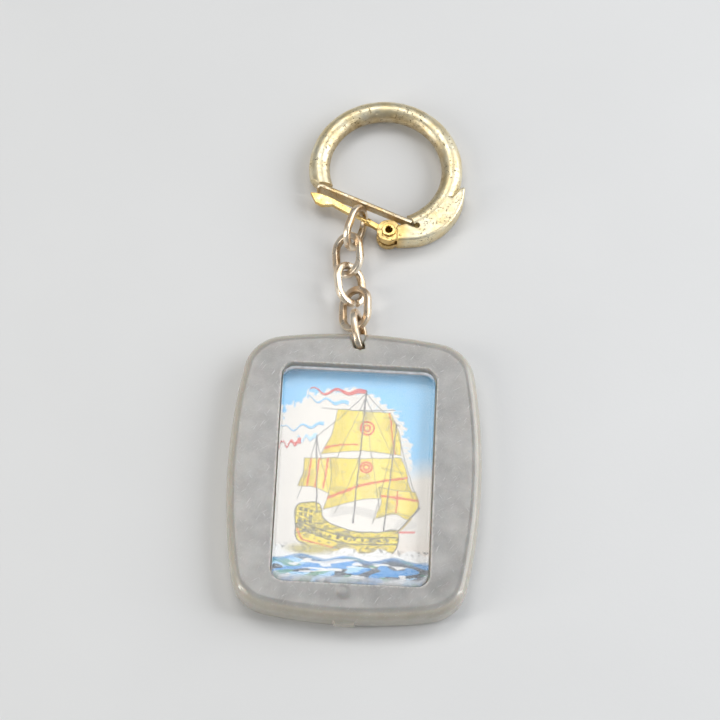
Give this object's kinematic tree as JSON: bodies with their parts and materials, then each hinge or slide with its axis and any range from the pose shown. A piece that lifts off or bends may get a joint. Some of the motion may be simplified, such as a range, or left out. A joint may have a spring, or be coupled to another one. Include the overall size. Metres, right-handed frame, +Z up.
{
  "type": "keychain",
  "caption": "Picture fob of clear plastic with a printed insert under a domed cover, on a chain of oval links with a hinged clasp ring for keys.",
  "frame": {"origin": "centre of the bounding box's bottom face, on the surface that the key ring lies on", "axes": "+Z is up out of the picture's face; +Y runs from the fob along the chain to the clasp ring; +X is to the picture's right"},
  "size_m": [0.0388, 0.0894, 0.0057],
  "materials": {
    "fob_plastic": "scuffed translucent",
    "cover_plastic": "clear, scuffed",
    "printed_paper": "printed",
    "backing_paper": "plain",
    "chain_metal": "worn plating",
    "bar_metal": "worn plating",
    "spring_metal": "worn plating",
    "ring_metal": "worn, pitted plating",
    "rivet_metal": "worn plating"
  },
  "bodies": {
    "fob": {"fob_body": "fob_plastic", "window_cover": "cover_plastic", "picture_card": "printed_paper", "backing_card": "backing_paper"},
    "fob_link": {"fob_link": "chain_metal"},
    "chain_link_3": {"chain_link_3": "chain_metal"},
    "chain_link_2": {"chain_link_2": "chain_metal"},
    "chain_link_1": {"chain_link_1": "chain_metal"},
    "bar_link": {"bar_link": "chain_metal"},
    "clasp": {"hinge_bar": "bar_metal", "spring_strip": "spring_metal"},
    "ring": {"ring_body": "ring_metal", "pivot_rivet": "rivet_metal"}
  },
  "joints": [
    {"name": "fob_link_swing", "type": "hinge", "parent": "fob", "child": "fob_link", "pos_m": [-0.00012, 0.00247, 0.0029], "axis": [0.9224, 0.1793, 0.342], "range_deg": [-45, 60]},
    {"name": "chain_link_3_swing", "type": "hinge", "parent": "fob_link", "child": "chain_link_3", "pos_m": [-0.00093, 0.00664, 0.0029], "axis": [-0.5874, -0.0205, 0.809], "range_deg": [-60, 60]},
    {"name": "chain_link_2_swing", "type": "hinge", "parent": "chain_link_3", "child": "chain_link_2", "pos_m": [-0.00127, 0.011, 0.00211], "axis": [-0.5805, -0.0919, -0.809], "range_deg": [-60, 60]},
    {"name": "chain_link_1_swing", "type": "hinge", "parent": "chain_link_2", "child": "chain_link_1", "pos_m": [-0.00267, 0.01516, 0.00211], "axis": [-0.6393, -0.0672, 0.766], "range_deg": [-60, 60]},
    {"name": "bar_link_swing", "type": "hinge", "parent": "chain_link_1", "child": "bar_link", "pos_m": [-0.0031, 0.02028, 0.00225], "axis": [0.8913, -0.2556, 0.3746], "range_deg": [-60, 60]},
    {"name": "clasp_swing", "type": "hinge", "parent": "bar_link", "child": "clasp", "pos_m": [-0.00149, 0.02246, 0.00288], "axis": [0.8913, -0.2556, 0.3746], "range_deg": [-60, 60]},
    {"name": "ring_open", "type": "hinge", "parent": "clasp", "child": "ring", "pos_m": [0.0035, 0.02105, 0.00205], "axis": [0, 0, -1], "range_deg": [0, 100]}
  ]
}
